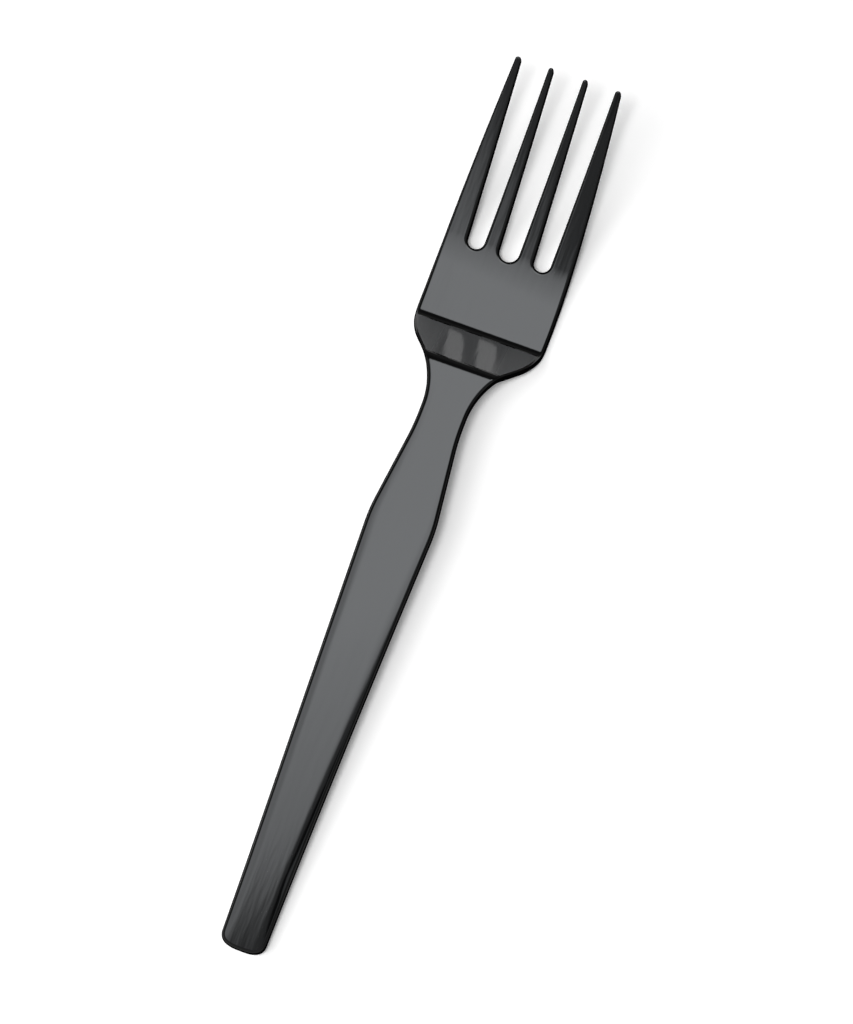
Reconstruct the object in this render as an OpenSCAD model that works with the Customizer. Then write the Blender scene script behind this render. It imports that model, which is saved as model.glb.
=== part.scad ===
// Dinner fork, one plastic moulding with four tines, lying back down on a table.
// Millimetres. x runs along the fork from butt to tips, y across it, z up from the table.

/* [Overall] */
// Length from the butt end to the tine tips
overall_length = 178; // [170:0.5:186]
// Greatest width of the head
head_width = 26.3; // [25.4:0.1:27.4]
// Width across the outer edges of the tine tips
tips_width = 21.5; // [20.8:0.1:22.2]
// Height of the neck's top face above the table
neck_height = 9.4; // [8.6:0.1:10.4]

/* [Handle] */
// Width of the handle just past its rounded butt
butt_width = 8.9; // [8:0.1:9.8]
// Length over which the butt end rounds in plan
butt_round = 3.1; // [2.6:0.1:4.2]
// Greatest width of the handle
widest_width = 13.6; // [12.7:0.1:14.5]
// Length over which the handle narrows, from its greatest width to the waist
narrowing_length = 22.4; // [18:0.1:26]
// Length over which the sides turn the corner at the greatest width
corner_length = 5; // [3.4:0.1:6.6]

/* [Neck] */
// Width of the waist behind the head
waist_width = 9.2; // [8.4:0.1:10]
// Distance past the waist at which the top becomes level
level_past_waist = 1.1; // [0:0.1:3]
// Length of the straight waist
waist_length = 1.5; // [1:0.1:2.5]
// Length over which the handle's sides ease into the waist
waist_ease = 5.5; // [4:0.1:7]

/* [Shoulders] */
// Angle of the shoulder flanks to the fork's length
flare_angle = 42.5; // [39.5:0.5:45.5]
// Plan radius from the waist into the flanks
waist_radius = 15.9; // [14:0.1:17]
// Plan radius from the flanks into the head
shoulder_radius = 10.5; // [8.5:0.1:11.5]

/* [Ramp] */
// Distance from the waist to the crease between ramp and head
waist_to_crease = 18.3; // [17.7:0.1:19.3]
// Steepness of the ramp below the neck
ramp_top_angle = 39.8; // [38:0.2:42]
// Steepness of the ramp above the crease
ramp_foot_angle = 38; // [36:0.2:40]
// Length of the rounding from neck to ramp
neck_edge_length = 1.9; // [1.4:0.1:2.4]
// Length of the rounding from ramp to head
crease_length = 1.5; // [1.1:0.1:1.8]

/* [Head] */
// Length of the flat that the head rests on, past the crease
foot_length = 3.2; // [2.4:0.1:4.5]
// Distance from the crease to where the head starts to narrow
straight_length = 5.4; // [3.4:0.1:9]
// Distance from the crease to the centres of the slots' round ends
palm_length = 16.8; // [15:0.1:18.5]
// Distance of the two outer slots from the middle of the fork
outer_slot_at = 6.8; // [6.6:0.05:7]
// Radius of the round end of each outer slot
outer_slot_radius = 1.72; // [1.56:0.02:1.86]
// Radius of the round end of the middle slot
middle_slot_radius = 2; // [1.86:0.02:2.12]

/* [Tines] */
// Length of the tines past the centres of the slots' round ends
tine_length = 33.6; // [31:0.2:36]
// Width of each outer slot at the tips
outer_slot_mouth = 5.6; // [5.3:0.05:5.8]
// Width of the middle slot at the tips
middle_slot_mouth = 5.95; // [5.65:0.05:6.15]
// Rise of the tines where they leave the head, in degrees
root_angle = 17.8; // [16:0.2:21]
// Rise of the tines at their tips, in degrees
tip_angle = 24.2; // [20:0.2:26]
// Length over which each tip rounds in plan
tip_round = 0.6; // [0.4:0.05:1]
// Length over which the slot edges round off past the roots
root_blend = 2.5; // [1.5:0.1:4]

/* [Thickness] */
// Wall thickness of the butt
butt_thickness = 3.2; // [2.8:0.1:3.6]
// Wall thickness of the neck
neck_thickness = 3; // [2.6:0.1:3.4]
// Wall thickness of the ramp and the head
head_thickness = 2.2; // [2:0.1:2.5]
// Thickness of the tines at their tips
tip_thickness = 1.7; // [1.4:0.1:2]

/* [Edges] */
// Radius of the top edges at the butt
butt_edge_radius = 0.75; // [0.5:0.05:0.95]
// Radius of the top edges at the neck
neck_edge_radius = 0.9; // [0.45:0.05:1.1]
// Radius of the top edges at the head
head_edge_radius = 0.85; // [0.4:0.05:1]
// Radius of the top edges at the tine tips
tip_edge_radius = 0.35; // [0.2:0.05:0.45]
// Size of the bevel on the edges underneath
underside_bevel = 0.3; // [0.15:0.05:0.7]
// How far each side of the handle and neck leans in from its top to its underside, so that it leaves the mould
side_draft = 0.2; // [0:0.05:0.3]
// Drop of the top face over the butt's end
butt_end_drop = 0.4; // [0.2:0.05:0.6]
// Length of that drop
butt_end_length = 0.5; // [0.3:0.05:0.8]
// Width of the strip along each long edge of the handle over which its top face rolls down
crown_width = 2.3; // [1.8:0.1:2.8]
// Drop of that strip at the butt
butt_crown = 0.04; // [0.02:0.01:0.2]
// Drop of that strip where the butt's end passes into the grip
grip_crown = 0.31; // [0.2:0.01:0.4]
// Distance of that place from the butt
grip_from = 16; // [12:0.5:20]
// Drop of that strip at the handle's greatest width
widest_crown = 0.18; // [0.06:0.01:0.26]

/* [Hidden] */

// Places along the fork from the butt, worked back from the tips, so the handle takes what length is left
tine_root_at = overall_length - tine_length;
crease_at = tine_root_at - palm_length;
taper_from = crease_at + straight_length;
waist_at = crease_at - waist_to_crease;
level_at = waist_at + level_past_waist;
widest_at = waist_at - narrowing_length;
waist_from = waist_at - waist_length;
neck_from = waist_from - waist_ease;
crease_start = crease_at - crease_length / 2;
crease_end = crease_at + crease_length / 2;
foot_end = crease_end + foot_length;

// Shapes of the outlines, as powers and shares with no unit
butt_power = 2.8;
butt_flat_share = 0.4;
side_power = 1.18;
taper_power = 1.7;
tip_flat_share = 0.45;
sharp_share = 0.06;
tine_edge_share = 0.7;
widest_edge_share = 0.7;
most_edge_share = 0.5;

// Slope of the handle's sides on either side of the greatest width, and how far the corner is eased
spread_slope = (widest_width - butt_width) / 2 * side_power / widest_at;
closing_slope = (widest_width - waist_width) / 2 / (waist_from - widest_at - waist_ease / 2);
corner_reach = corner_length / 2 * (spread_slope + closing_slope);

// Shoulder flanks, each an arc, a straight and an arc that meet without a corner
flare_rise = (head_width - waist_width) / 2;
arcs_rise = (waist_radius + shoulder_radius) * (1 - cos(flare_angle));
flank_run = (flare_rise - arcs_rise) / tan(flare_angle);
flank_from = waist_at + waist_radius * sin(flare_angle);
flank_to = flank_from + flank_run;
flank_half = waist_width / 2 + waist_radius * (1 - cos(flare_angle));
shoulder_end = flank_to + shoulder_radius * sin(flare_angle);

// Rise of the handle, whose underside touches the table at the butt
first_slope = 2 * (neck_height - butt_thickness) / level_at;
butt_top = butt_thickness * sqrt(1 + first_slope * first_slope);
handle_slope = 2 * (neck_height - butt_top) / level_at;

// Length of the plain ramp between its two roundings
ramp_top_slope = tan(ramp_top_angle);
ramp_foot_slope = tan(ramp_foot_angle);
roundings_drop = (neck_edge_length * ramp_top_slope + crease_length * ramp_foot_slope) / 2;
plain_drop = neck_height - head_thickness - roundings_drop;
plain_length = 2 * plain_drop / (ramp_top_slope + ramp_foot_slope);
neck_edge_end = crease_start - plain_length;
neck_edge_start = neck_edge_end - neck_edge_length;

// Slope of the top face along the fork, straight between these places
slopes = [
    [0, handle_slope],
    [level_at, 0],
    [neck_edge_start, 0],
    [neck_edge_end, -ramp_top_slope],
    [crease_start, -ramp_foot_slope],
    [crease_end, 0],
    [foot_end, 0],
    [tine_root_at, tan(root_angle)],
    [overall_length, tan(tip_angle)]
];

// Wall thickness along the fork
walls = [
    [0, butt_thickness],
    [waist_at, neck_thickness],
    [neck_edge_start, neck_thickness],
    [crease_start, head_thickness],
    [tine_root_at, head_thickness],
    [overall_length, tip_thickness]
];

// Radius of the top edges along the fork
edge_radii = [
    [0, butt_edge_radius],
    [widest_at, blend(butt_edge_radius, neck_edge_radius, widest_edge_share)],
    [neck_from, neck_edge_radius],
    [crease_end, head_edge_radius],
    [overall_length, tip_edge_radius]
];

// How far the sides lean in along the fork; those of the head and the tines stand upright
drafts = [[neck_edge_start, side_draft], [crease_end, 0]];

// Drop of the top face at the handle's long edges
crowns = [[0, butt_crown], [grip_from, grip_crown], [widest_at, widest_crown], [neck_edge_start, 0]];

// Steps along each edge arc, across the top face and round each slot's end
arc_steps = 4;
crown_steps = 8;
slot_end_sides = 64;

// Longest steps along the fork, from its straight stretches to its tightest curves
straight_step = 7;
tine_step = 3.8;
narrowing_step = 2.4;
curve_step = 1.3;
ramp_step = 0.6;
edge_step = 0.4;
tip_step = 0.15;
butt_turn_step = 10;

function blend(a, b, share) = a + (b - a) * share;

function total(list, i = 0) = i < len(list) ? list[i] + total(list, i + 1) : 0;

// Lesser of two values, with the corner between them eased
function eased_min(a, b) =
    let (near = max(corner_reach - abs(a - b), 0) / corner_reach)
    min(a, b) - near * near * corner_reach / 4;

// Rise of the top face over one stretch of the slope list, as far as x
function stretch_rise(i, x) =
    let (
        from = slopes[i][0],
        to = min(x, slopes[i + 1][0])
    )
    to > from ? (to - from) * (lookup(from, slopes) + lookup(to, slopes)) / 2 : 0;

// Height of the top face on the middle line, before the butt's end is rounded over
function height(x) = butt_top + total([for (i = [0 : len(slopes) - 2]) stretch_rise(i, x)]);

// Drop of the top face over the butt's end
function end_drop(x) =
    let (share = max(1 - x / butt_end_length, 0))
    butt_end_drop * (1 - sqrt(1 - share * share));

// Height of the underside, which is flat on the table below the crease
function underside(x) =
    let (slope = lookup(x, slopes))
    max(0, height(x) - lookup(x, walls) * sqrt(1 + slope * slope));

// Half width of the handle's rounded butt
function butt_half(x) =
    let (share = 1 - pow(1 - min(x / butt_round, 1), butt_power))
    butt_width / 2 * max(butt_flat_share, pow(share, 1 / butt_power));

// Half width of the handle where its sides spread from the butt
function spreading_half(x) =
    butt_half(x) + (widest_width - butt_width) / 2 * pow(x / widest_at, side_power);

// Half width of the handle where its sides close in on the waist
function closing_half(x) =
    let (
        back = max(waist_from - x, 0),
        run = back < waist_ease ? back * back / 2 / waist_ease : back - waist_ease / 2
    )
    waist_width / 2 + closing_slope * run;

// Half width of the shoulders, from the waist to the head
function shoulder_half(x) =
    x < flank_from ? waist_width / 2 + waist_radius - sqrt(pow(waist_radius, 2) - pow(x - waist_at, 2))
    : x < flank_to ? flank_half + (x - flank_from) * tan(flare_angle)
    : head_width / 2 - shoulder_radius + sqrt(pow(shoulder_radius, 2) - pow(shoulder_end - x, 2));

// Half width of the head and its outer tines
function head_half(x) =
    let (share = max(x - taper_from, 0) / (overall_length - taper_from))
    head_width / 2 - (head_width - tips_width) / 2 * pow(share, taper_power);

function half_width(x) =
    x < waist_at ? eased_min(spreading_half(x), closing_half(x))
    : x < shoulder_end ? shoulder_half(x)
    : head_half(x);

// Half the gap of a slot beyond its round end
function half_gap(x, radius, mouth) =
    blend(radius, mouth / 2, (x - tine_root_at) / (overall_length - tine_root_at));

// Share of a tine's width that is left at x, less than 1 only at the round tip
function tip_share(x) =
    let (into_tip = max(x - overall_length + tip_round, 0) / tip_round)
    sqrt(1 - (1 - tip_flat_share * tip_flat_share) * into_tip * into_tip);

// Drop of the top face at some distance from the nearer long edge
function crown_drop(x, from_edge) =
    let (share = max(1 - from_edge / crown_width, 0))
    lookup(x, crowns) * share * share;

// Outline across the fork at x, along the underside and back over the top
function section(x, right, left, right_radius, left_radius) =
    let (
        roof = height(x) - end_drop(x),
        sole = underside(x),
        right_bevel = min(underside_bevel, right_radius),
        left_bevel = min(underside_bevel, left_radius),
        right_foot = right + lookup(x, drafts),
        left_foot = left - lookup(x, drafts),
        left_shoulder = left - left_radius,
        right_shoulder = right + right_radius,
        left_roof = roof - crown_drop(x, left_radius),
        right_roof = roof - crown_drop(x, right_radius)
    )
    concat(
        [
            [x, right_foot + right_bevel, sole],
            [x, left_foot - left_bevel, sole],
            [x, left_foot, sole + left_bevel]
        ],
        [
            for (i = [0 : arc_steps])
            let (turn = 90 * i / arc_steps)
            [x, left_shoulder + left_radius * cos(turn), left_roof - left_radius * (1 - sin(turn))]
        ],
        [
            for (i = [1 : crown_steps - 1])
            let (y = blend(left_shoulder, right_shoulder, i / crown_steps))
            [x, y, roof - crown_drop(x, min(left - y, y - right))]
        ],
        [
            for (i = [0 : arc_steps])
            let (turn = 90 * (1 - i / arc_steps))
            [x, right_shoulder - right_radius * cos(turn), right_roof - right_radius * (1 - sin(turn))]
        ],
        [[x, right_foot, sole + right_bevel]]
    );

// Section over the full width of the fork
function body_section(x) =
    let (
        half = half_width(x),
        radius = min(lookup(x, edge_radii), half * most_edge_share)
    )
    section(x, -half, half, radius, radius);

// Section of a left tine, whose slot edges start sharp like the edges of the slots' round ends
function tine_section(x, outer) =
    let (
        outer_gap = half_gap(x, outer_slot_radius, outer_slot_mouth),
        left = outer ? half_width(x) : outer_slot_at - outer_gap,
        right = outer ? outer_slot_at + outer_gap : half_gap(x, middle_slot_radius, middle_slot_mouth),
        middle = (left + right) / 2,
        half = (left - right) / 2 * tip_share(x),
        edge = min(lookup(x, edge_radii), half * tine_edge_share),
        slot_edge = edge * blend(sharp_share, 1, min((x - tine_root_at) / root_blend, 1))
    )
    section(x, middle - half, middle + half, slot_edge, outer ? edge : slot_edge);

// Closed solid through a row of sections that all have the same number of points
module loft(sections) {
    count = len(sections[0]);
    last = len(sections) - 1;
    sides = [
        for (i = [0 : last - 1], j = [0 : count - 1])
        let (
            a = i * count + j,
            b = i * count + (j + 1) % count,
            c = b + count,
            d = a + count
        )
        each [[a, c, b], [a, d, c]]
    ];
    near_cap = [for (j = [0 : count - 1]) j];
    far_cap = [for (j = [0 : count - 1]) last * count + count - 1 - j];
    polyhedron(points = [for (s = sections) each s], faces = concat(sides, [near_cap, far_cap]));
}

// Evenly spaced places from one x to another, the first left out
function spread(from, to, step) =
    let (count = ceil((to - from) / step))
    [for (i = [1 : count]) blend(from, to, i / count)];

// The fork's middle stands over the origin
module in_frame() {
    translate([-overall_length / 2, 0, 0])
        children();
}

// Long grip from the rounded butt to the narrowing before the neck
module handle() {
    corner_from = widest_at - corner_length / 2;
    corner_to = widest_at + corner_length / 2;
    places = concat(
        [for (turn = [0 : butt_turn_step : 90]) butt_round * (1 - cos(turn))],
        spread(butt_round, corner_from, straight_step),
        spread(corner_from, corner_to, ramp_step),
        spread(corner_to, neck_from, narrowing_step)
    );
    color("dimgray")
        in_frame()
            loft([for (x = places) body_section(x)]);
}

// Level waist that flares into the shoulders
module neck() {
    places = concat(
        [neck_from],
        spread(neck_from, waist_at, curve_step),
        spread(waist_at, neck_edge_start, curve_step)
    );
    color("gray")
        in_frame()
            loft([for (x = places) body_section(x)]);
}

// Sloping face from the neck down to the crease, with both shoulders
module ramp() {
    places = concat(
        [neck_edge_start],
        spread(neck_edge_start, neck_edge_end, edge_step),
        spread(neck_edge_end, crease_start, ramp_step),
        spread(crease_start, crease_end, edge_step)
    );
    color("darkgray")
        in_frame()
            loft([for (x = places) body_section(x)]);
}

// Round end of one slot, cut through the head's full thickness
module slot_end(y, radius) {
    translate([tine_root_at, y, -head_thickness])
        cylinder(h = neck_height + head_thickness, r = radius, $fn = slot_end_sides);
}

// Palm from the crease to the tine roots, with the round ends of the slots
module head() {
    places = concat([crease_end, foot_end], spread(foot_end, tine_root_at, curve_step));
    color("gray")
        in_frame()
            difference() {
                loft([for (x = places) body_section(x)]);
                slot_end(outer_slot_at, outer_slot_radius);
                slot_end(0, middle_slot_radius);
                slot_end(-outer_slot_at, outer_slot_radius);
            }
}

// One tine on the left side, from the head to its round tip
module tine(outer) {
    blend_end = tine_root_at + root_blend;
    tip_start = overall_length - tip_round;
    places = concat(
        [tine_root_at],
        spread(tine_root_at, blend_end, curve_step),
        spread(blend_end, tip_start, tine_step),
        spread(tip_start, overall_length, tip_step)
    );
    in_frame()
        loft([for (x = places) tine_section(x, outer)]);
}

module left_outer_tine() {
    color("dimgray")
        tine(true);
}

module left_inner_tine() {
    color("darkgray")
        tine(false);
}

module right_inner_tine() {
    color("dimgray")
        mirror([0, 1, 0])
            tine(false);
}

module right_outer_tine() {
    color("darkgray")
        mirror([0, 1, 0])
            tine(true);
}

handle();
neck();
ramp();
head();
left_outer_tine();
left_inner_tine();
right_inner_tine();
right_outer_tine();
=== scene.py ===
import math

import bmesh
import bpy
import numpy as np
from mathutils import Matrix, Vector


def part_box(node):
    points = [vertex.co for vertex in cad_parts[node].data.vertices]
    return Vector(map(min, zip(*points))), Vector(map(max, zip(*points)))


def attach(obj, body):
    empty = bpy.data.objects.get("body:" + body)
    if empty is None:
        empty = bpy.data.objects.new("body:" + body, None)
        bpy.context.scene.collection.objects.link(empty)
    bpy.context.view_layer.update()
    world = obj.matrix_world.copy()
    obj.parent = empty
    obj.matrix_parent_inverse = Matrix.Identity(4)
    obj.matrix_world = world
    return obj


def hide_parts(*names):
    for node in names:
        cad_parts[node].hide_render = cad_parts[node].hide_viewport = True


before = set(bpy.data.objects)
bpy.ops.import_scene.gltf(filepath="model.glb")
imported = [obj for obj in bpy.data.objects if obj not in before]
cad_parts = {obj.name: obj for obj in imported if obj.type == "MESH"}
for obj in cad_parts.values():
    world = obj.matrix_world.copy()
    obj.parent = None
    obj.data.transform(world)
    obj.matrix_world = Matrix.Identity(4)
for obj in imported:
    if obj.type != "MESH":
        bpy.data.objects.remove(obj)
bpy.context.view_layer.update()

# Moulding
# The real fork is a single shot of black polystyrene from a polished steel mould, with no other piece in it.
# Its plan is drawn here once, as a flat blank with rounded edges. The sections after this one cut their
# regions out of that blank and press them to the fork's side profile, so that these meet without a seam.
mm = 0.001

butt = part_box("handle")[0].x
neck_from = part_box("handle")[1].x
neck_edge_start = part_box("neck")[1].x
crease_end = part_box("ramp")[1].x
tine_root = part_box("head")[1].x
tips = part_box("left_outer_tine")[1].x
head_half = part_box("head")[1].y

crease_length = 1.5 * mm
waist_to_crease = 18.3 * mm
waist_length = 1.5 * mm
narrowing_length = 22.4 * mm
crease_to_taper = 5.4 * mm
crease_at = crease_end - crease_length / 2
taper_from = crease_at + crease_to_taper
waist = crease_at - waist_to_crease
waist_from = waist - waist_length
waist_ease = waist_from - neck_from
widest = waist - narrowing_length

butt_half = 8.9 / 2 * mm
butt_round = 3.1 * mm
butt_power = 2.8
widest_half = 13.6 / 2 * mm
side_power = 1.18
corner_length = 5 * mm
waist_half = 9.2 / 2 * mm
flare_angle = math.radians(42.5)
waist_radius = 15.9 * mm
shoulder_radius = 10.5 * mm
taper_power = 1.7
tips_half = 21.5 / 2 * mm
outer_slot_at = 6.8 * mm
outer_slot_radius = 1.72 * mm
outer_slot_mouth = 5.6 / 2 * mm
middle_slot_radius = 2 * mm
middle_slot_mouth = 5.95 / 2 * mm
tip_round = 0.55 * mm


def spreading_half(x):
    """Half width of the handle's sides, spreading from the butt."""
    along = np.maximum(x - butt, 0) / (widest - butt)
    return butt_half + (widest_half - butt_half) * along ** side_power


def handle_half(x):
    """Half width of the handle, eased at the corner of its widest place and on its run into the waist."""
    closing_slope = (widest_half - waist_half) / (waist_from - widest - waist_ease / 2)
    back = np.maximum(waist_from - x, 0)
    run = np.where(back < waist_ease, back ** 2 / 2 / waist_ease, back - waist_ease / 2)
    closing = waist_half + closing_slope * run
    spreading = spreading_half(np.minimum(x, waist))
    spread_slope = (widest_half - butt_half) * side_power / (widest - butt)
    reach = corner_length / 2 * (spread_slope + closing_slope)
    near = np.maximum(reach - np.abs(spreading - closing), 0) / reach
    return np.minimum(spreading, closing) - near ** 2 * reach / 4


def shoulder_half(x):
    """Half width of the shoulders: an arc out of the waist, a straight flank and an arc into the head."""
    arcs_rise = (waist_radius + shoulder_radius) * (1 - math.cos(flare_angle))
    flank_run = (head_half - waist_half - arcs_rise) / math.tan(flare_angle)
    flank_from = waist + waist_radius * math.sin(flare_angle)
    flank_to = flank_from + flank_run
    shoulder_end = flank_to + shoulder_radius * math.sin(flare_angle)
    out_of_waist = np.clip(x - waist, 0, waist_radius)
    into_head = np.clip(shoulder_end - x, 0, shoulder_radius)
    first_arc = waist_half + waist_radius - np.sqrt(waist_radius ** 2 - out_of_waist ** 2)
    flank_half = waist_half + waist_radius * (1 - math.cos(flare_angle))
    flank = flank_half + (x - flank_from) * math.tan(flare_angle)
    last_arc = head_half - shoulder_radius + np.sqrt(shoulder_radius ** 2 - into_head ** 2)
    return np.where(x < flank_from, first_arc, np.where(x < flank_to, flank, last_arc))


def half_width(x):
    """Half width of the whole fork's outline, past its rounded butt."""
    taper = np.maximum(x - taper_from, 0) / (tips - taper_from)
    narrowing = (head_half - tips_half) * taper ** taper_power
    return np.where(x < waist, handle_half(x), shoulder_half(x) - narrowing)


def half_gap(x, radius, mouth):
    """Half the gap of a slot, from its round end to its mouth between the tips."""
    return radius + (mouth - radius) * (x - tine_root) / (tips - tine_root)


def places(start, end, step):
    """Evenly spaced places from one x to another, about one step apart."""
    return np.linspace(start, end, math.ceil(abs(end - start) / step) + 1)


def arc(centre, radius, first, last, step=6):
    """Points on an ellipse with two radii, between two angles in degrees."""
    turns = np.radians(np.linspace(first, last, math.ceil(abs(last - first) / step) + 1))
    return np.column_stack((centre[0] + radius[0] * np.cos(turns), centre[1] + radius[1] * np.sin(turns)))


# Distances between the outline's points on straight sides, gentle curves, the handle's corner and shoulders
straight_step = 1.5 * mm
gentle_step = 0.8 * mm
corner_step = 0.3 * mm
shoulder_step = 0.35 * mm
butt_points = 25


def left_outline():
    """The left half of the plan, from the middle of the butt to the slot between the inner tines."""
    turns = np.radians(np.linspace(0, 90, butt_points))
    butt_x = butt + butt_round * (1 - np.cos(turns) ** (2 / butt_power))
    butt_y = spreading_half(butt_x) - butt_half + butt_half * np.sin(turns) ** (2 / butt_power)
    tip_start = tips - tip_round
    along_side = np.concatenate((
        places(butt + butt_round, widest - corner_length, straight_step)[1:],
        places(widest - corner_length, widest + corner_length, corner_step)[1:],
        places(widest + corner_length, waist, gentle_step)[1:],
        places(waist, taper_from, shoulder_step)[1:],
        places(taper_from, tip_start, gentle_step)[1:],
    ))
    up_tine = places(tine_root, tip_start, gentle_step)
    down_tine = up_tine[::-1]
    outer_gap = half_gap(up_tine, outer_slot_radius, outer_slot_mouth)
    middle_gap = half_gap(up_tine, middle_slot_radius, middle_slot_mouth)

    def tip(left_side, right_side):
        """The round end of one tine, between its two sides."""
        centre = (tip_start, (left_side + right_side) / 2)
        return arc(centre, (tip_round, (left_side - right_side) / 2), 90, -90)[1:-1]

    return np.concatenate((
        np.column_stack((butt_x, butt_y)),
        np.column_stack((along_side, half_width(along_side))),
        tip(half_width(tip_start), outer_slot_at + outer_gap[-1]),
        np.column_stack((down_tine, outer_slot_at + outer_gap[::-1])),
        arc((tine_root, outer_slot_at), (outer_slot_radius, outer_slot_radius), 90, 270)[1:-1],
        np.column_stack((up_tine, outer_slot_at - outer_gap)),
        tip(outer_slot_at - outer_gap[-1], middle_gap[-1]),
        np.column_stack((down_tine, middle_gap[::-1])),
        arc((tine_root, 0), (middle_slot_radius, middle_slot_radius), 90, 180)[1:],
    ))


# Radii of the rounded edges on top and underneath at some places along the fork, and how far the handle's
# and neck's sides lean in towards the underside
edge_places = (butt, widest, neck_from, crease_end, tips)
top_edge_radii = np.array((0.75, 0.85, 0.9, 0.85, 0.36)) * mm
underside_radii = np.array((0.35, 0.35, 0.35, 0.35, 0.2)) * mm
side_draft = 0.2 * mm
top_edge_steps = 8
underside_steps = 3

# The blank is much thicker than the fork, so that its rounded edges, each within an edge zone, stay apart
edge_zone = 1 * mm
blank_thickness = 8 * mm


def edge_rings(outline):
    """Rings of points and normals from the blank's underside, round its edges and up to its top face."""
    along = np.roll(outline, -1, 0) - np.roll(outline, 1, 0)
    along /= np.linalg.norm(along, axis=1)[:, None]
    outward = np.column_stack((-along[:, 1], along[:, 0]))
    top_radius = np.interp(outline[:, 0], edge_places, top_edge_radii)
    underside_radius = np.interp(outline[:, 0], edge_places, underside_radii)
    draft = np.interp(outline[:, 0], (neck_edge_start, crease_end), (side_draft, 0))
    rings = []

    def add_ring(radius, turn, level, side, lean_in):
        """One ring, at a turn round the edge from the upright side to the flat face."""
        inset = outline - outward * (lean_in + radius * (1 - math.cos(turn)))[:, None]
        height = level - side * radius * (1 - math.sin(turn))
        lean = np.full(len(outline), side * math.sin(turn))
        rings.append((np.column_stack((inset, height)), np.column_stack((outward * math.cos(turn), lean))))

    for i in range(underside_steps + 1):
        add_ring(underside_radius, math.pi / 2 * (1 - i / underside_steps), 0, -1, draft)
    for i in range(top_edge_steps + 1):
        add_ring(top_radius, math.pi / 2 * i / top_edge_steps, blank_thickness, 1, 0)
    return rings


def slice_across(blank, faces, spots, direction):
    """Cuts these faces of the blank at each spot along a direction, so that they can bend there."""
    for spot in spots:
        edges = list({e for f in faces for e in f.edges})
        corners = list({v for f in faces for v in f.verts})
        cut = bmesh.ops.bisect_plane(
            blank, geom=corners + edges + faces, plane_co=direction * spot, plane_no=direction
        )
        faces = [g for g in cut["geom"] if isinstance(g, bmesh.types.BMFace)]


# Distances between the cuts across the blank on the handle, on gentle curves and on the ramp and palm,
# and at the two sharp bends, with how far these reach from the neck's edge and back from the crease's end
handle_slice = 2 * mm
gentle_slice = 1 * mm
face_slice = 0.4 * mm
bend_slice = 0.1 * mm
neck_bend_reach = 2 * mm
crease_bend_reach = 1.7 * mm


def make_blank():
    """The whole fork as a flat plate with rounded edges, sliced where the side profile will bend it."""
    left = left_outline()
    right = left[-2:0:-1] * (1, -1)
    blank = bmesh.new()
    blank.faces.layers.bool.new("cap")
    normals = blank.verts.layers.float_vector.new("blank_normal")
    halves = blank.verts.layers.float.new("half_width")
    rows = []
    for points, ring_normals in edge_rings(np.concatenate((left, right))):
        row = [blank.verts.new(p) for p in points]
        for vert, normal in zip(row, ring_normals):
            vert[normals] = normal
        rows.append(row)
    for lower, upper in zip(rows, rows[1:]):
        for i in range(len(lower)):
            blank.faces.new((lower[i - 1], upper[i - 1], upper[i], lower[i]))
    blank.faces.new(rows[0])
    blank.faces.new(rows[-1][::-1])
    neck_bend_end = neck_edge_start + neck_bend_reach
    crease_bend_start = crease_end - crease_bend_reach
    spots = np.concatenate((
        places(butt, waist, handle_slice)[1:],
        places(waist, neck_edge_start, gentle_slice)[1:],
        places(neck_edge_start, neck_bend_end, bend_slice)[1:],
        places(neck_bend_end, crease_bend_start, face_slice)[1:],
        places(crease_bend_start, crease_end, bend_slice)[1:],
        places(crease_end, tine_root, face_slice)[1:],
        places(tine_root, tips, gentle_slice)[1:-1],
    ))
    slice_across(blank, blank.faces[:], spots, Vector((1, 0, 0)))
    on_top = [f for f in blank.faces if min(v.co.z for v in f.verts) > blank_thickness / 2]
    crowned = [f for f in on_top if f.calc_center_median().x < neck_edge_start]
    slice_across(blank, crowned, places(-widest_half, widest_half, face_slice)[1:-1], Vector((0, 1, 0)))
    for vert in blank.verts:
        vert[halves] = half_width(vert.co.x)
    return blank


moulding = make_blank()


class Wire:
    """An output socket of a node tree. Python's operators on it add Math nodes to that tree."""

    def __init__(self, socket):
        self.socket = socket

    @staticmethod
    def node(tree, kind, settings=None, inputs=None, output=0):
        """Adds a node: first its settings, then the values or wires of its input sockets."""
        made = tree.nodes.new(kind)
        for name, value in (settings or {}).items():
            setattr(made, name, value)

        def pick(sockets, name):
            shown = [s for s in sockets if s.enabled]
            return shown[name] if isinstance(name, int) else next(s for s in shown if s.name == name)

        for name, value in (inputs or {}).items():
            socket = pick(made.inputs, name)
            if isinstance(value, Wire):
                tree.links.new(value.socket, socket)
            else:
                socket.default_value = value
        return Wire(pick(made.outputs, output)) if made.outputs else None

    def math(self, operation, *others):
        """Adds a Math node that works on this output and others."""
        inputs = dict(enumerate((self, *others)))
        return Wire.node(self.socket.id_data, "ShaderNodeMath", {"operation": operation}, inputs)

    def __add__(self, other):
        return self.math("ADD", other)

    def __sub__(self, other):
        return self.math("SUBTRACT", other)

    def __mul__(self, other):
        return self.math("MULTIPLY", other)

    def __truediv__(self, other):
        return self.math("DIVIDE", other)

    def __rsub__(self, other):
        return self * -1 + other

    __radd__ = __add__
    __rmul__ = __mul__


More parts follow.
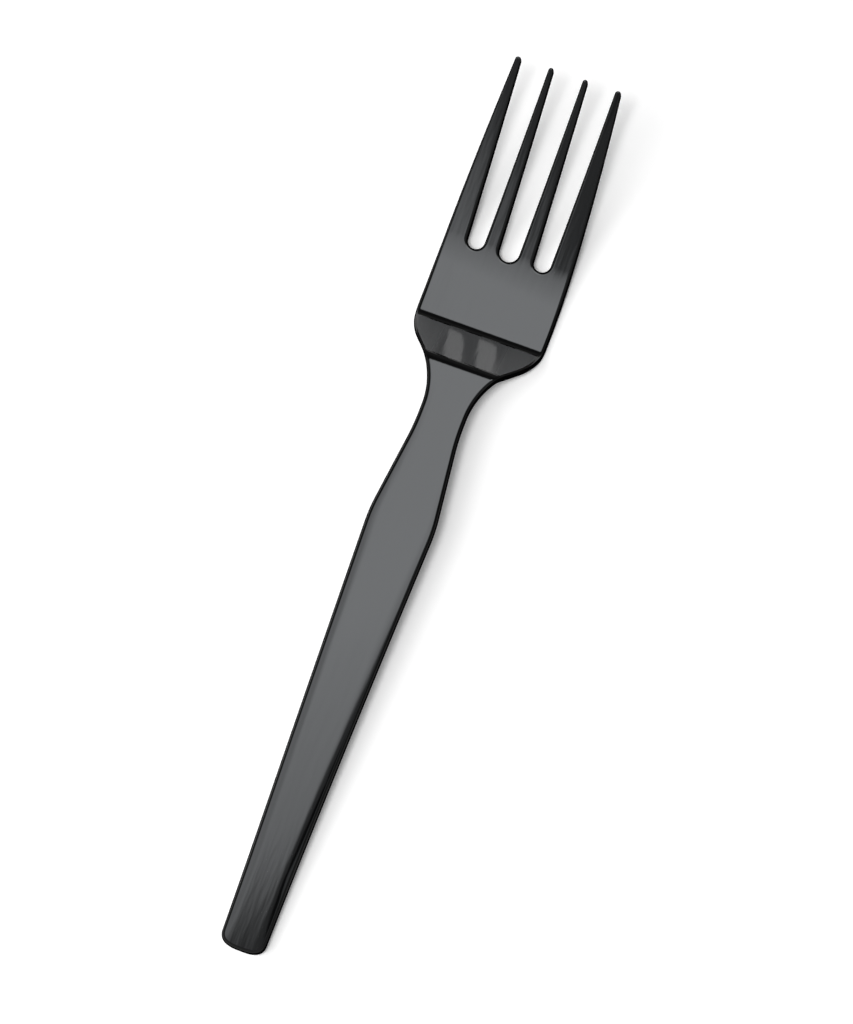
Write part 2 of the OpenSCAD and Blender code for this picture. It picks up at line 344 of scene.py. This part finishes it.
# The mould's side profile: the handle arches up to the neck, a steep ramp drops from there to the crease,
# and the palm and tines sweep up again. Geometry Nodes press each cut blank to that rule.
neck_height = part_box("neck")[1].z
butt_thickness = 3.2 * mm
level_past_waist = 1.1 * mm
neck_edge_length = 1.9 * mm
foot_length = 3.2 * mm
butt_to_grip = 16 * mm
ramp_top_angle = math.radians(39.8)
ramp_foot_angle = math.radians(38)
root_angle = math.radians(17.8)
tip_angle = math.radians(24.2)
level = waist + level_past_waist
neck_edge_end = neck_edge_start + neck_edge_length
crease_start = crease_end - crease_length
first_slope = 2 * (neck_height - butt_thickness) / (level - butt)
butt_height = butt_thickness * math.sqrt(1 + first_slope ** 2)
profile = {
    "Butt": butt,
    "Widest": widest,
    "Waist": waist,
    "Level": level,
    "Neck Edge Start": neck_edge_start,
    "Neck Edge End": neck_edge_end,
    "Crease Start": crease_start,
    "Crease End": crease_end,
    "Foot End": crease_end + foot_length,
    "Tine Root": tine_root,
    "Tips": tips,
    "Butt Height": butt_height,
    "Handle Slope": 2 * (neck_height - butt_height) / (level - butt),
    "Ramp Top Slope": -math.tan(ramp_top_angle),
    "Ramp Foot Slope": -math.tan(ramp_foot_angle),
    "Root Slope": math.tan(root_angle),
    "Tip Slope": math.tan(tip_angle),
    "Butt Thickness": butt_thickness,
    "Neck Thickness": 3 * mm,
    "Head Thickness": 2.2 * mm,
    "Tip Thickness": 1.7 * mm,
    "Grip": butt + butt_to_grip,
    "Crown Width": 2.3 * mm,
    "Butt Crown": 0.04 * mm,
    "Grip Crown": 0.31 * mm,
    "Widest Crown": 0.18 * mm,
}


def make_press():
    """A node tree that raises a flat blank to the fork's side profile and turns its normals with it."""
    tree = bpy.data.node_groups.new("press to profile", "GeometryNodeTree")
    tree.interface.new_socket("Blank", in_out="INPUT", socket_type="NodeSocketGeometry")
    tree.interface.new_socket("Plastic", in_out="INPUT", socket_type="NodeSocketMaterial")
    for name in profile:
        tree.interface.new_socket(name, in_out="INPUT", socket_type="NodeSocketFloat")
    tree.interface.new_socket("Piece", in_out="OUTPUT", socket_type="NodeSocketGeometry")
    size = {s.name: Wire(s) for s in tree.nodes.new("NodeGroupInput").outputs}

    def node(kind, settings=None, inputs=None, output=0):
        """Adds a node to this tree."""
        return Wire.node(tree, kind, settings, inputs, output)

    def parts(vector):
        """The three numbers of a vector."""
        return [node("ShaderNodeSeparateXYZ", None, {"Vector": vector}, axis) for axis in "XYZ"]

    def stored(name, kind):
        """A value that the blank keeps on its points or faces."""
        return node("GeometryNodeInputNamedAttribute", {"data_type": kind}, {"Name": name})

    x, y, z = parts(node("GeometryNodeInputPosition"))

    def share(start, end):
        """How far x has come along one stretch, from 0 to 1."""
        return ((x - size[start]) / (size[end] - size[start])).math("MINIMUM", 1).math("MAXIMUM", 0)

    def stretches(stops):
        """Each stretch between two stops: the share passed, its length, its first value and its change."""
        for (start, first), (end, last) in zip(stops, stops[1:]):
            yield share(start, end), size[end] - size[start], first, last - first

    def followed(stops):
        """A value that changes evenly from each stop to the next."""
        value = stops[0][1]
        for passed, _, _, change in stretches(stops):
            value = value + passed * change
        return value

    slopes = [
        ("Butt", size["Handle Slope"]),
        ("Level", 0),
        ("Neck Edge Start", 0),
        ("Neck Edge End", size["Ramp Top Slope"]),
        ("Crease Start", size["Ramp Foot Slope"]),
        ("Crease End", 0),
        ("Foot End", 0),
        ("Tine Root", size["Root Slope"]),
        ("Tips", size["Tip Slope"]),
    ]
    slope = followed(slopes)
    height = size["Butt Height"]
    for passed, length, first, change in stretches(slopes):
        height = height + passed * length * (passed * change * 0.5 + first)

    wall = followed([
        ("Butt", size["Butt Thickness"]),
        ("Waist", size["Neck Thickness"]),
        ("Neck Edge Start", size["Neck Thickness"]),
        ("Crease Start", size["Head Thickness"]),
        ("Tine Root", size["Head Thickness"]),
        ("Tips", size["Tip Thickness"]),
    ])
    sole = (height - wall * (slope * slope + 1).math("SQRT")).math("MAXIMUM", 0)

    crown = followed([
        ("Butt", size["Butt Crown"]),
        ("Grip", size["Grip Crown"]),
        ("Widest", size["Widest Crown"]),
        ("Neck Edge Start", 0),
    ])
    from_edge = stored("half_width", "FLOAT") - y.math("ABSOLUTE")
    rolled = (1 - from_edge / size["Crown Width"]).math("MAXIMUM", 0)
    roof = height - crown * rolled * rolled
    tilt = crown * rolled * 2 / size["Crown Width"] * y.math("SIGN")

    # The blank's edge zones keep their form, and its sides shrink between them
    side_run = blank_thickness - 2 * edge_zone
    up_side = ((z - edge_zone) / side_run).math("MINIMUM", 1).math("MAXIMUM", 0)
    upper = roof + z.math("MAXIMUM", blank_thickness - edge_zone) - blank_thickness
    lower = sole + z.math("MINIMUM", edge_zone)
    pressed = up_side * upper + (1 - up_side) * lower
    place = node("ShaderNodeCombineXYZ", None, {"X": x, "Y": y, "Z": pressed})
    bent = node("GeometryNodeSetPosition", None, {"Geometry": size["Blank"], "Position": place})

    cap = stored("cap", "BOOLEAN")
    nx, ny, nz = parts(stored("blank_normal", "FLOAT_VECTOR"))
    turned = node("ShaderNodeCombineXYZ", None, {"X": nx - nz * slope, "Y": ny + nz * tilt, "Z": nz})
    # Faces that close a cut or point down keep their own normals
    least_upward = -0.01
    moulded = nz.math("GREATER_THAN", least_upward) * (1 - cap)
    ends = {"Factor": moulded, "A": node("GeometryNodeInputNormal"), "B": turned}
    mixed = node("ShaderNodeMix", {"data_type": "VECTOR"}, ends)
    normal = node("ShaderNodeVectorMath", {"operation": "NORMALIZE"}, {0: mixed})
    smooth = node("GeometryNodeSetShadeSmooth", None, {"Geometry": bent, "Shade Smooth": 1 - cap})
    shaded = node(
        "GeometryNodeSetMeshNormal",
        {"mode": "FREE", "domain": "CORNER"},
        {"Mesh": smooth, "Custom Normal": normal},
    )
    solid = node("GeometryNodeRealizeInstances", None, {"Geometry": shaded})
    piece = node("GeometryNodeSetMaterial", None, {"Geometry": solid, "Material": size["Plastic"]})
    node("NodeGroupOutput", None, {"Piece": piece})
    return tree


press = make_press()


def start_material(name):
    """An empty node material, with a function that adds nodes to it."""
    material = bpy.data.materials.new(name)
    material.use_nodes = True
    material.node_tree.nodes.clear()

    def node(kind, settings=None, inputs=None, output=0):
        """Adds a node to this material."""
        return Wire.node(material.node_tree, kind, settings, inputs, output)

    return material, node


def faded(node, value, start, end, first=0, last=1, kind="SMOOTHSTEP"):
    """A number that goes from first to last while a value goes from start to end."""
    inputs = {"Value": value, "From Min": start, "From Max": end, "To Min": first, "To Max": last}
    return node("ShaderNodeMapRange", {"interpolation_type": kind}, inputs)


# The plastic's finish. Facing is how far up the blank's surface points: 1 on top, 0 on its upright sides.
gloss_colour = (0.002, 0.0021, 0.0022, 1)
ramp_colour = (0.078, 0.08, 0.082, 1)
# Painted shade: the upright sides get a matt near-black in place of the shadowed table that their polish
# mirrors.
painted_shade_colour = (0.0015, 0.0015, 0.0016, 1)
polystyrene_ior = 1.59
flow_line_scale = (90, 620, 90)
flow_line_detail = 2
flow_line_depth = 1.8e-5
flow_line_roughness = 0.05
gloss_roughness = 0.05
ramp_end_roughness = 0.4
ramp_middle_to = 5 * mm
ramp_ends_from = 8 * mm
ramp_least_colour = 0.8
ramp_flow_lines = 0.4
ramp_facing = 0.97
painted_shade_until_facing = 0.66
gloss_facing = 0.8


def make_plastic():
    """Gloss black plastic with faint flow lines, a lighter grey ramp and matt sides as painted shade."""
    material, node = start_material("black_plastic")
    place = node("ShaderNodeTexCoord", None, None, "Object")
    x = node("ShaderNodeSeparateXYZ", None, {"Vector": place}, "X")
    stretched = node("ShaderNodeMapping", None, {"Vector": place, "Scale": flow_line_scale})
    lines = node("ShaderNodeTexNoise", None, {"Vector": stretched, "Scale": 1, "Detail": flow_line_detail})
    blank_normal = node("ShaderNodeAttribute", {"attribute_name": "blank_normal"}, None, "Vector")
    facing = node("ShaderNodeSeparateXYZ", None, {"Vector": blank_normal}, "Z")
    along_ramp = x.math("GREATER_THAN", neck_edge_end) * x.math("LESS_THAN", crease_start)
    on_ramp = along_ramp * facing.math("GREATER_THAN", ramp_facing)
    lighter_ramp = on_ramp * (lines * ramp_flow_lines + ramp_least_colour)
    colours = {"Factor": lighter_ramp, "A": gloss_colour, "B": ramp_colour}
    colour = node("ShaderNodeMix", {"data_type": "RGBA"}, colours)
    aside = node("ShaderNodeSeparateXYZ", None, {"Vector": place}, "Y").math("ABSOLUTE")
    at_ends = on_ramp * faded(node, aside, ramp_middle_to, ramp_ends_from)
    roughness = lines * flow_line_roughness + gloss_roughness + at_ends * ramp_end_roughness
    ripple = node("ShaderNodeBump", None, {"Strength": 1, "Distance": flow_line_depth, "Height": lines})
    gloss = node(
        "ShaderNodeBsdfPrincipled",
        None,
        {"Base Color": colour, "Roughness": roughness, "IOR": polystyrene_ior, "Normal": ripple},
    )
    # Painted shade: matt near-black on the upright sides, in place of the shadowed table that they mirror.
    painted_shade_bsdf = node("ShaderNodeBsdfDiffuse", None, {"Color": painted_shade_colour})
    painted_shade_share = faded(node, facing, painted_shade_until_facing, gloss_facing, 1, 0)
    both = node("ShaderNodeMixShader", None, {0: painted_shade_share, 1: gloss, 2: painted_shade_bsdf})
    node("ShaderNodeOutputMaterial", None, {"Surface": both})
    return material


black_plastic = make_plastic()


def cut_piece(name, node, start, end, right=-head_half, left=head_half):
    """One region of the moulding, cut out of the blank, closed at its cuts and pressed to its profile."""
    region = moulding.copy()
    cap = region.faces.layers.bool["cap"]
    for spot, outward in ((start, Vector((-1, 0, 0))), (end, Vector((1, 0, 0)))):
        everything = region.verts[:] + region.edges[:] + region.faces[:]
        bmesh.ops.bisect_plane(
            region, geom=everything, plane_co=(spot, 0, 0), plane_no=outward, clear_outer=True
        )
    beside = [v for v in region.verts if not right - mm < v.co.y < left + mm]
    bmesh.ops.delete(region, geom=beside, context="VERTS")
    open_edges = [e for e in region.edges if e.is_boundary]
    for face in bmesh.ops.holes_fill(region, edges=open_edges)["faces"]:
        face[cap] = True
    bmesh.ops.triangulate(region, faces=[f for f in region.faces if len(f.verts) > 4 and not f[cap]])
    flat = bpy.data.meshes.new(name)
    region.to_mesh(flat)
    region.free()

    blank = bpy.data.objects.new(name + "_blank", flat)
    bpy.context.scene.collection.objects.link(blank)
    modifier = blank.modifiers.new("press", "NODES")
    modifier.node_group = press
    for socket in press.interface.items_tree:
        if socket.name in profile:
            modifier[socket.identifier] = profile[socket.name]
        elif socket.name == "Plastic":
            modifier[socket.identifier] = black_plastic
    pressed = blank.evaluated_get(bpy.context.evaluated_depsgraph_get())
    mesh = bpy.data.meshes.new_from_object(pressed)
    bpy.data.objects.remove(blank)
    piece = bpy.data.objects.new(name, mesh)
    bpy.context.scene.collection.objects.link(piece)
    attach(piece, "root")
    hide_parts(node)


# Handle
# The long grip, widening from a rounded butt and arching up towards the neck, its long edges rolled over.
# It is the thickest plastic of the fork, and runs on into the neck without a joint.
cut_piece("fork_handle", "handle", butt - mm, neck_from)

# Neck
# The level waist between the handle and the head, flaring to the shoulders.
# It is the same plastic, moulded in one with the handle behind it and the ramp in front.
cut_piece("fork_neck", "neck", neck_from, neck_edge_start)

# Ramp
# The sloping face that drops from the neck to the crease, with the fork's shoulders on both sides.
# Its grey is lighter than the rest and rougher towards its ends, and the tines mirror in it.
cut_piece("fork_ramp", "ramp", neck_edge_start, crease_end)

# Head
# The palm from the crease to the tine roots, lying on the table just past the crease.
# The mould's pins leave the round ends of the three slots in it.
cut_piece("fork_head", "head", crease_end, tine_root)

# Tines
# Four tapering tines, two on each side of the middle slot, sweeping up to thin round tips.
# They are moulded in one with the palm, and the outer two follow the head's outline.
for side, sign in (("left", 1), ("right", -1)):
    for name, inner_edge, outer_edge in (("outer", outer_slot_at, head_half), ("inner", 0, outer_slot_at)):
        tine = f"{side}_{name}_tine"
        right_and_left = sorted((sign * inner_edge, sign * outer_edge))
        cut_piece("fork_" + tine, tine, tine_root, tips + mm, *right_and_left)

# Table
# A matte white table top that carries the fork and takes its shadow. It belongs to the stage.
# Its own glow in the picture and in mirrored views brings the lit table to plain white, also far away.
table_half = 4
table_colour = (0.9, 0.9, 0.9, 1)
table_glow = 0.26
table_near = 0.2
table_far = 0.5
plain_white = (1, 1, 1, 1)


def seen_rays(node):
    """1 for rays that the camera sees straight, mirrored or through something, and 0 for other light."""
    straight = node("ShaderNodeLightPath", None, None, "Is Camera Ray")
    mirrored = node("ShaderNodeLightPath", None, None, "Is Glossy Ray")
    through = node("ShaderNodeLightPath", None, None, "Is Transmission Ray")
    return (straight + mirrored + through).math("MINIMUM", 1)


def make_table_top():
    """Matte white that glows a little where it is seen, and plain white far from the fork."""
    material, node = start_material("white_table")
    place = node("ShaderNodeTexCoord", None, None, "Object")
    away = node("ShaderNodeVectorMath", {"operation": "LENGTH"}, {0: place}, "Value")
    far = faded(node, away, table_near, table_far)
    seen = seen_rays(node)
    matte = node("ShaderNodeBsdfDiffuse", None, {"Color": table_colour})
    glow = node("ShaderNodeEmission", None, {"Color": plain_white, "Strength": seen * table_glow})
    lit = node("ShaderNodeAddShader", None, {0: matte, 1: glow})
    white = node("ShaderNodeEmission", None, {"Color": plain_white, "Strength": seen})
    surface = node("ShaderNodeMixShader", None, {0: far, 1: lit, 2: white})
    node("ShaderNodeOutputMaterial", None, {"Surface": surface})
    return material


def add_stage(name, points, faces, material):
    """A piece of the stage, from its points and faces."""
    mesh = bpy.data.meshes.new(name)
    mesh.from_pydata(points, [], faces)
    mesh.materials.append(material)
    made = bpy.data.objects.new(name, mesh)
    bpy.context.scene.collection.objects.link(made)
    return made


corners = [(x * table_half, y * table_half, 0) for x, y in ((-1, -1), (1, -1), (1, 1), (-1, 1))]
add_stage("table", corners, [(0, 1, 2, 3)], make_table_top())

# Studio walls
# Dark cloth round and over the table, which the fork's rounded edges mirror, with a low white wall below it,
# which shows in the ramp between the tines. The camera looks through both. Where it is mirrored, the cloth
# is lit faintly in its lower half and on the butt's side, so that the fork's form shows from every side.
wall_radius = 2
wall_fineness = 5
wall_depth = 0.01
wall_colour = (0.02, 0.02, 0.02, 1)
wall_white_to = 0.16
wall_black_from = 0.3
wall_glow = 0.85
wall_lower_to = 0.7
wall_upper_from = 1.2
wall_lower_sheen = 0.07
wall_lit_to = -1.4
wall_dark_from = 0.6
wall_sheen_at_butt = 0.3
wall_sheen_at_tips = 0.04


def make_wall_cloth():
    """Dark cloth, white and glowing at its foot, with a faint light on it that only mirrored views show."""
    material, node = start_material("wall_cloth")
    place = node("ShaderNodeTexCoord", None, None, "Object")
    along = node("ShaderNodeSeparateXYZ", None, {"Vector": place}, "X")
    up = node("ShaderNodeSeparateXYZ", None, {"Vector": place}, "Z")
    white_wall = faded(node, up, wall_white_to, wall_black_from, wall_glow, 0)
    butt_side = faded(node, along, wall_lit_to, wall_dark_from, wall_sheen_at_butt, wall_sheen_at_tips)
    lower_half = faded(node, up, wall_lower_to, wall_upper_from, wall_lower_sheen, 0)
    mirrored = (butt_side + lower_half) * seen_rays(node)
    matte = node("ShaderNodeBsdfDiffuse", None, {"Color": wall_colour})
    glow = node("ShaderNodeEmission", None, {"Color": white_wall + mirrored})
    both = node("ShaderNodeAddShader", None, {0: matte, 1: glow})
    node("ShaderNodeOutputMaterial", None, {"Surface": both})
    return material


def add_walls():
    """A dome of cloth that reaches just below the table top."""
    shell = bmesh.new()
    bmesh.ops.create_icosphere(shell, subdivisions=wall_fineness, radius=wall_radius)
    everything = shell.verts[:] + shell.edges[:] + shell.faces[:]
    down = Vector((0, 0, -1))
    foot = down * wall_depth
    bmesh.ops.bisect_plane(shell, geom=everything, plane_co=foot, plane_no=down, clear_outer=True)
    points = [v.co.copy() for v in shell.verts]
    shell.verts.index_update()
    faces = [[v.index for v in f.verts] for f in shell.faces]
    shell.free()
    return add_stage("studio_walls", points, faces, make_wall_cloth())


walls = add_walls()
walls.visible_camera = False

# Softbox
# A flat cloth light over the fork, bright towards the tips and the left, that the polished faces mirror.
# From there its brightness falls off towards the butt, first slowly, then fast and then in a dim step, with
# a narrow strip of light beyond. Its far end and its left side are shaded.
softbox_height = 0.45
softbox_direction = (0.66, 0.75)
softbox_turn = math.atan2(softbox_direction[1], softbox_direction[0])
softbox_dim_edge = -0.2
softbox_bright_edge = 0.26
softbox_half_width = 0.24
softbox_tint = {"Red": 0.95, "Green": 0.98, "Blue": 1.01}
strip_ends = (-0.135, -0.12)
strip_brightness = 0.5
dim_rise = (-0.1, -0.078)
dim_brightness = 0.32
fast_rise = (-0.06, -0.014)
fast_brightness = 1.88
slow_rise = (-0.02, 0.05)
slow_brightness = 0.95
far_shade = (0.16, 0.25)
left_shade = (0.06, 0.14)
left_brightness = 0.6


def make_softbox_cloth():
    """Glowing cloth whose brightness changes along and across the softbox."""
    material, node = start_material("softbox_cloth")
    place = node("ShaderNodeTexCoord", None, None, "Object")
    turned = node("ShaderNodeMapping", None, {"Vector": place, "Rotation": (0, 0, -softbox_turn)})
    along = node("ShaderNodeSeparateXYZ", None, {"Vector": turned}, "X")
    leftward = node("ShaderNodeSeparateXYZ", None, {"Vector": place}, "Y")
    strip = faded(node, along, *strip_ends, strip_brightness, 0)
    dim = faded(node, along, *dim_rise, 0, dim_brightness)
    fast = faded(node, along, *fast_rise, 0, fast_brightness)
    slow = faded(node, along, *slow_rise, 0, slow_brightness, "LINEAR")
    shade = faded(node, along, *far_shade, 1, 0) * faded(node, leftward, *left_shade, 1, left_brightness)
    brightness = strip + (dim + fast + slow) * shade
    channels = {name: brightness * share for name, share in softbox_tint.items()}
    tinted = node("ShaderNodeCombineColor", None, channels)
    glow = node("ShaderNodeEmission", None, {"Color": tinted})
    node("ShaderNodeOutputMaterial", None, {"Surface": glow})
    return material


turn = Matrix.Rotation(softbox_turn, 3, "Z")
corners = []
for along, across in ((-1, -1), (-1, 1), (1, 1), (1, -1)):
    edge = softbox_bright_edge if along > 0 else softbox_dim_edge
    corners.append(turn @ Vector((edge, across * softbox_half_width, 0)) + Vector((0, 0, softbox_height)))
softbox = add_stage("softbox", corners, [(0, 1, 2, 3)], make_softbox_cloth())
softbox.visible_camera = False
softbox.visible_diffuse = False
softbox.visible_shadow = False

# Lamps
# A round lamp overhead, a little to the left of the camera, and a wide one farther to the left. Between them
# they light the table and give the fork its soft shadow. The fork's gloss doesn't mirror them.
overhead_place = Vector((-0.24, 0.03, 1.2))
overhead_width = 0.28
overhead_watts = 8
left_place = Vector((-0.4, 0.6, 1.1))
left_width = 1
left_watts = 10.5


def add_lamp(name, place, width, watts):
    """A round lamp that shines on the middle of the fork."""
    data = bpy.data.lights.new(name, "AREA")
    data.shape = "DISK"
    data.size = width
    data.energy = watts
    lamp = bpy.data.objects.new(name, data)
    lamp.location = place
    lamp.rotation_euler = (-place).to_track_quat("-Z", "Y").to_euler()
    lamp.visible_glossy = False
    bpy.context.scene.collection.objects.link(lamp)


add_lamp("overhead_lamp", overhead_place, overhead_width, overhead_watts)
add_lamp("left_lamp", left_place, left_width, left_watts)

# World
# Plain white behind everything that the camera sees, and dark for all other light.
# The studio walls stand before it in mirrored views.
world = bpy.data.worlds.new("studio")
world.use_nodes = True
world.node_tree.nodes.clear()
bpy.context.scene.world = world


def world_node(kind, settings=None, inputs=None, output=0):
    """Adds a node to the world."""
    return Wire.node(world.node_tree, kind, settings, inputs, output)


seen_white = {"Color": plain_white, "Strength": seen_rays(world_node)}
background = world_node("ShaderNodeBackground", None, seen_white)
world_node("ShaderNodeOutputWorld", None, {"Surface": background})

# Camera
# A long lens about a metre above the fork, looking down from the butt's side and from its right.
# Its place and turn were fitted to the photograph's outline of the fork.
sensor_height = 36
picture_height = 1024
focal_pixels = 5224.8
farthest_seen = 10
camera_place = Vector((-0.182574, -0.123231, 0.975304))
looking_along = Vector((0.1851, 0.1205, -0.9753))
picture_up = Vector((0.9167, 0.3365, 0.2155))
camera_data = bpy.data.cameras.new("camera")
camera_data.sensor_fit = "VERTICAL"
camera_data.sensor_height = sensor_height
camera_data.lens = focal_pixels / picture_height * sensor_height
camera_data.clip_end = farthest_seen
camera = bpy.data.objects.new("camera", camera_data)
bpy.context.scene.collection.objects.link(camera)
forward = looking_along.normalized()
rightward = forward.cross(picture_up).normalized()
upward = rightward.cross(forward)
camera_turn = Matrix((rightward, upward, -forward)).transposed().to_4x4()
camera.matrix_world = Matrix.Translation(camera_place) @ camera_turn
bpy.context.scene.camera = camera
bpy.context.scene.view_settings.view_transform = "Standard"
